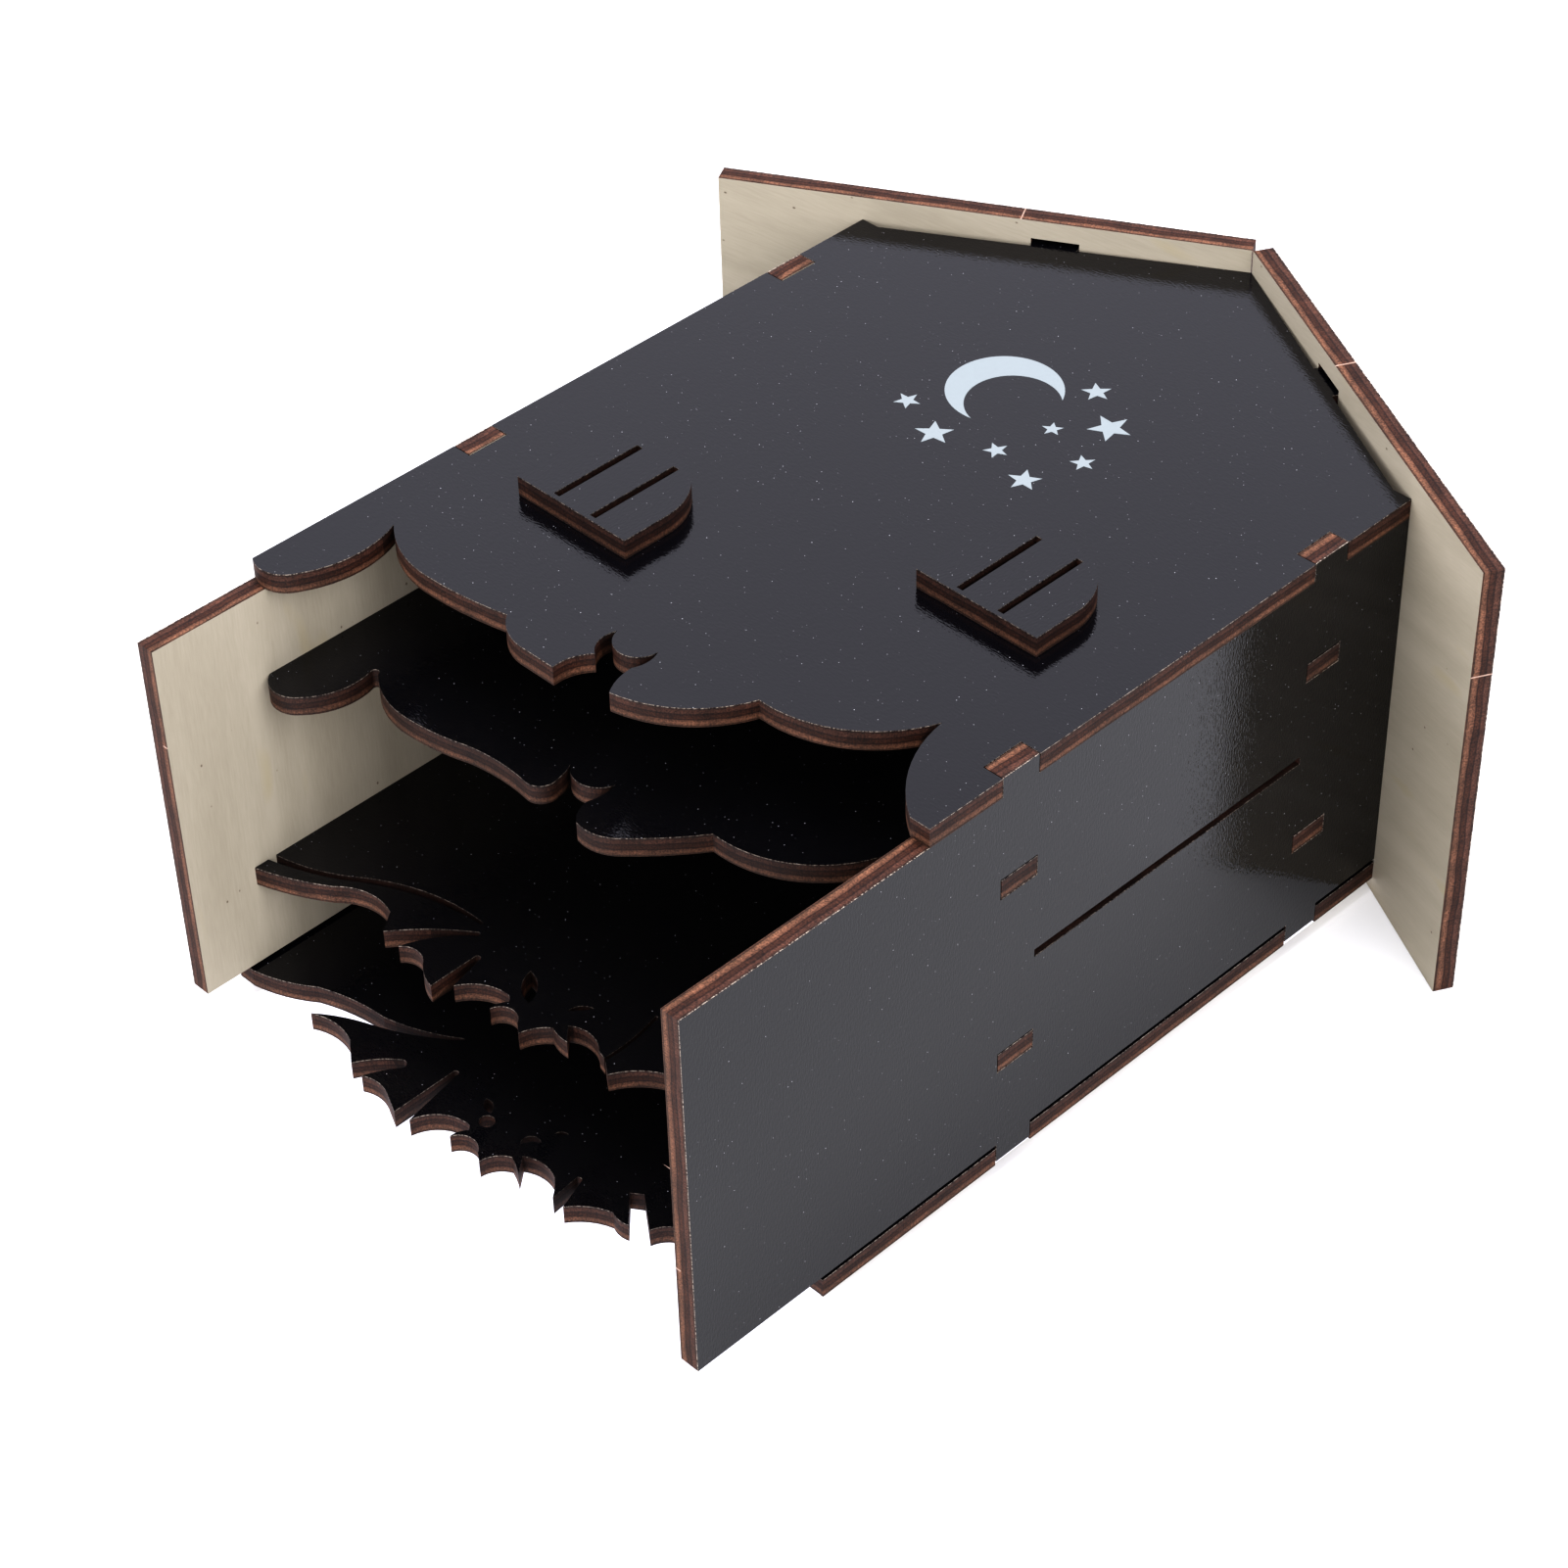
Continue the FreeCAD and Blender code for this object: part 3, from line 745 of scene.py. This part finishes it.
class BATBOX_OT_stars(bpy.types.Operator):
    """Print the stars around the moon"""
    bl_idname = "batbox.stars"
    bl_label = "Star prints"

    def execute(self, context):
        sizes = context.scene.batbox_print
        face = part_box("front_panel")[0][1]
        # In mm, how far right of the middle, how high above the feet, and radius; and
        # turn in degrees
        stars = (
            (6.5, 201.5, 3.6, 8), (18.0, 193.0, 5.2, -12), (9.0, 184.0, 2.6, 20),
            (22.5, 179.0, 3.0, 5), (-22.0, 170.0, 3.2, -18), (-9.0, 165.0, 4.6, 14),
            (5.5, 169.5, 3.0, -6), (17.5, 165.5, 4.0, 22),
        )
        mesh = bpy.data.meshes.new("star_prints")
        mesh.from_pydata([(x * MM, face, z * MM) for x, z, radius, turn in stars], [], [])
        measures = {
            "star_size": [radius * MM for x, z, radius, turn in stars],
            "star_turn": [math.radians(turn) for x, z, radius, turn in stars],
        }
        for name, values in measures.items():
            measure = mesh.attributes.new(name, "FLOAT", "POINT")
            measure.data.foreach_set("value", values)
        piece = place_piece("star_prints", mesh)
        attach_tree(piece, stars_tree(), {"Waist": sizes.star_waist, "Film": sizes.film})
        plain_mesh_from(piece)
        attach(piece, "root")
        return {"FINISHED"}


# Broken bridges

def bridge_places():
    """Each bridge's start, its outward way, its way through the board, and its length."""
    pitch = roof_pitch()
    low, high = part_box("roof_right")
    thickness = board_thickness()
    into = Vector((-math.sin(pitch), 0, -math.cos(pitch)))
    # The right eave
    forward = 31.6 * MM
    eave = Vector((high[0], -forward, low[2] - thickness * into.z))
    places = [(eave, Vector((-into.z, 0, into.x)), into, thickness)]
    # The front rims of both roof boards
    for side, across in ((-1, 51.0 * MM), (1, 46.3 * MM)):
        rise = (high[0] - across) * math.tan(pitch)
        rim = Vector((side * across, low[1], eave.z + rise))
        places.append((rim, FORWARD, Vector((side * into.x, 0, into.z)), thickness))
    # The sides' feet, torn only at their bare faces
    torn = 1.4 * MM
    off_middle = 22.4 * MM
    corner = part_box("side_right")[0]
    for side in (-1, 1):
        foot = Vector((side * (corner[0] + torn), side * off_middle, corner[2]))
        places.append((foot, DOWNWARD, RIGHT * -side, torn))
    return places


class BATBOX_OT_bridges(bpy.types.Operator):
    """Leave the broken bridges that held the boards in their sheet"""
    bl_idname = "batbox.bridges"
    bl_label = "Broken bridges"

    def execute(self, context):
        sizes = context.scene.batbox_marks
        torn_wood(sizes)
        mesh = bpy.data.meshes.new("broken_bridges")
        work = bmesh.new()
        half = sizes.width / 2
        # The torn crest's width, start and end, as shares of its foot's width and length
        crest_width = 0.4
        first, last = 0.06, 0.88
        for start, outward, through, length in bridge_places():
            along = outward.cross(through)
            foot = [work.verts.new(start + along * s * half + through * t) for s, t in
                    ((-1, 0), (1, 0), (1, length), (-1, length))]
            crest = [work.verts.new(start + outward * sizes.proud
                                    + along * s * half * crest_width
                                    + through * length * t)
                     for s, t in ((-1, first), (1, first), (1, last), (-1, last))]
            work.faces.new(foot)
            work.faces.new(crest)
            for i in range(4):
                j = (i + 1) % 4
                work.faces.new((foot[i], foot[j], crest[j], crest[i]))
        # A splinter that still hangs on the right foot. Its corners are in mm from the spot
        # where it leaves the foot.
        forward = 5.7 * MM
        tip_corner = (-2.2, 0.4, 0.2)
        root_corners = ((0.2, -0.12, 0.0), (0.2, 0.12, 0.0), (0.2, 0.0, 0.2))
        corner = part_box("side_right")[0]
        root = Vector((corner[0], -forward, corner[2]))
        tip = work.verts.new(root + Vector(tip_corner) * MM)
        ring = [work.verts.new(root + Vector(place) * MM) for place in root_corners]
        work.faces.new(ring)
        for i in range(3):
            work.faces.new((ring[i - 1], ring[i], tip))
        bmesh.ops.recalc_face_normals(work, faces=work.faces)
        work.to_mesh(mesh)
        work.free()
        mesh.materials.append(bpy.data.materials["torn_wood"])
        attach(place_piece("broken_bridges", mesh), "root")
        return {"FINISHED"}


# Stage

def white_floor(sizes):
    """Matt white paper, lit a little more where it is looked at, and clear from behind."""
    tree = new_material("white_floor")
    paper = add(tree, "ShaderNodeBsdfDiffuse", {"Color": sizes.floor_colour}).outputs[0]
    seen = add(tree, "ShaderNodeLightPath").outputs["Is Camera Ray"]
    strength = add(tree, "ShaderNodeMath", {0: seen, 1: sizes.floor_glow},
                   operation="MULTIPLY").outputs[0]
    glow = add(tree, "ShaderNodeEmission", {"Strength": strength}).outputs[0]
    bright = add(tree, "ShaderNodeAddShader", {0: paper, 1: glow}).outputs[0]
    clear = add(tree, "ShaderNodeBsdfTransparent").outputs[0]
    behind = add(tree, "ShaderNodeNewGeometry").outputs["Backfacing"]
    mixed = add(tree, "ShaderNodeMixShader", {0: behind, 1: bright, 2: clear}).outputs[0]
    add(tree, "ShaderNodeOutputMaterial", {0: mixed})


def floor_window():
    """Corners of the window in the floor, hidden beneath the box. It lets light reach the
    box's back, so that the back can be looked at too."""
    pitch = roof_pitch()
    thickness = board_thickness()
    # How far the window stays inside the walls, and inside the roof's rear edges, and how
    # far it reaches below the back
    margin = 3.5 * MM
    inset = 1.5 * MM
    drop = 5 * MM
    low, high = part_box("back_panel")
    wall = high[0] - margin
    foot = low[2] - drop
    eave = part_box("roof_right")[1][0] - thickness * math.sin(pitch)
    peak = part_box("roof_right")[1][2] - thickness * math.cos(pitch)
    half = [Vector((wall, foot))]
    for across, out in ((wall, inset), (eave - inset, inset),
                        (eave - inset, thickness - inset), (0, thickness - inset)):
        half.append(Vector((across + out * math.sin(pitch),
                            peak - across * math.tan(pitch) + out * math.cos(pitch))))
    return half + [Vector((-corner.x, corner.y)) for corner in reversed(half)]


class BATBOX_OT_stage(bpy.types.Operator):
    """Set up the floor, the light and the camera"""
    bl_idname = "batbox.stage"
    bl_label = "Studio"

    def execute(self, context):
        sizes = context.scene.batbox_studio
        white_floor(sizes)
        # The box lies on its back, so the floor is an upright plane just behind it
        reach = 6.0
        gap = 0.1 * MM
        level = cad_box[1][1] + gap
        mesh = bpy.data.meshes.new("floor")
        work = bmesh.new()
        edges = []
        border = [Vector((x, z)) for x, z in
                  ((-reach, -reach), (reach, -reach), (reach, reach), (-reach, reach))]
        for ring in (border, floor_window()):
            corners = [work.verts.new((corner.x, level, corner.y)) for corner in ring]
            edges += [work.edges.new((corners[i - 1], corners[i]))
                      for i in range(len(corners))]
        bmesh.ops.triangle_fill(work, edges=edges, use_beauty=True, normal=FORWARD)
        for face in work.faces:
            if face.normal.y > 0:
                face.normal_flip()
        work.to_mesh(mesh)
        work.free()
        mesh.materials.append(bpy.data.materials["white_floor"])
        floor = bpy.data.objects.new("floor", mesh)
        context.scene.collection.objects.link(floor)

        world = bpy.data.worlds.new("studio")
        world.use_nodes = True
        tree = world.node_tree
        tree.nodes.clear()
        sky = add(tree, "ShaderNodeBackground",
                  {"Color": sizes.sky_colour, "Strength": sizes.sky_strength}).outputs[0]
        add(tree, "ShaderNodeOutputWorld", {0: sky})
        context.scene.world = world
        context.scene.view_settings.view_transform = "Standard"
        context.scene.view_settings.look = "High Contrast"

        # Large soft lights: before the box on its right, before its open foot, and over
        # its front. The last isn't mirrored, so it doesn't fill the lacquer of the front
        # when that is looked at squarely.
        breadth = 1.2
        distance = 1.8
        middle = (cad_box[0] + cad_box[1]) / 2
        # Each one's name, power, direction from the box, and whether it is mirrored
        lights = (
            ("key_light", sizes.key_power, (0.7, -0.7, -0.1), True),
            ("low_light", sizes.low_power, (0.0, -0.35, -1.0), True),
            ("top_light", sizes.top_power, (0.0, -1.0, 0.0), False),
        )
        for name, power, towards, mirrored in lights:
            lamp = bpy.data.lights.new(name, "AREA")
            lamp.shape = "DISK"
            lamp.size = breadth
            lamp.energy = power
            towards = Vector(towards).normalized()
            light = bpy.data.objects.new(name, lamp)
            light.location = middle + towards * distance
            light.rotation_mode = "QUATERNION"
            light.rotation_quaternion = towards.to_track_quat("Z", "Y")
            light.visible_glossy = mirrored
            context.scene.collection.objects.link(light)

        # The camera looks up and to the back at the box from below its right front corner.
        # Its place, directions and focal length were fitted to the photograph's edges.
        place = Vector((0.46567, -0.53627, -0.33666))
        right = Vector((0.70355515, 0.02236494, 0.71028865))
        down = Vector((0.44678094, 0.76334074, -0.46658087))
        forward = Vector((-0.55262731, 0.64560880, 0.52706008))
        focal_pixels = 3872.8
        image_pixels = 1601
        data = bpy.data.cameras.new("camera")
        data.sensor_width = 36.0
        data.lens = data.sensor_width * focal_pixels / image_pixels
        data.clip_start = 0.05
        data.clip_end = 50.0
        camera = bpy.data.objects.new("camera", data)
        turn = Matrix((right, -down, -forward)).transposed()
        camera.matrix_world = Matrix.Translation(place) @ turn.to_4x4()
        context.scene.collection.objects.link(camera)
        context.scene.camera = camera
        return {"FINISHED"}


class BATBOX_PT_panel(bpy.types.Panel):
    """Steps of the bat box"""
    bl_idname = "BATBOX_PT_panel"
    bl_label = "Bat box"
    bl_space_type = "VIEW_3D"
    bl_region_type = "UI"
    bl_category = "Bat box"

    def draw(self, context):
        for step in STEPS:
            self.layout.operator(step.bl_idname)
        for group, owner in GROUPS.items():
            for name in group.__annotations__:
                self.layout.prop(getattr(context.scene, owner), name)


STEPS = (BATBOX_OT_stock, BATBOX_OT_panels, BATBOX_OT_partitions, BATBOX_OT_sides,
         BATBOX_OT_roof, BATBOX_OT_plates, BATBOX_OT_moon, BATBOX_OT_stars,
         BATBOX_OT_bridges, BATBOX_OT_stage)
GROUPS = {
    BoardFinish: "batbox_finish",
    PrintSizes: "batbox_print",
    MarkSizes: "batbox_marks",
    StudioSizes: "batbox_studio",
}


def register():
    """Make the sizes, steps and panel known to Blender."""
    for group, name in GROUPS.items():
        bpy.utils.register_class(group)
        setattr(bpy.types.Scene, name, bpy.props.PointerProperty(type=group))
    for step in STEPS:
        bpy.utils.register_class(step)
    bpy.utils.register_class(BATBOX_PT_panel)


def unregister():
    """Take them away again."""
    bpy.utils.unregister_class(BATBOX_PT_panel)
    for step in reversed(STEPS):
        bpy.utils.unregister_class(step)
    for group, name in GROUPS.items():
        delattr(bpy.types.Scene, name)
        bpy.utils.unregister_class(group)


def main():
    """Run every step in order."""
    register()
    for step in STEPS:
        area, verb = step.bl_idname.split(".")
        getattr(getattr(bpy.ops, area), verb)()
    bpy.context.view_layer.update()


if __name__ == "__main__":
    main()
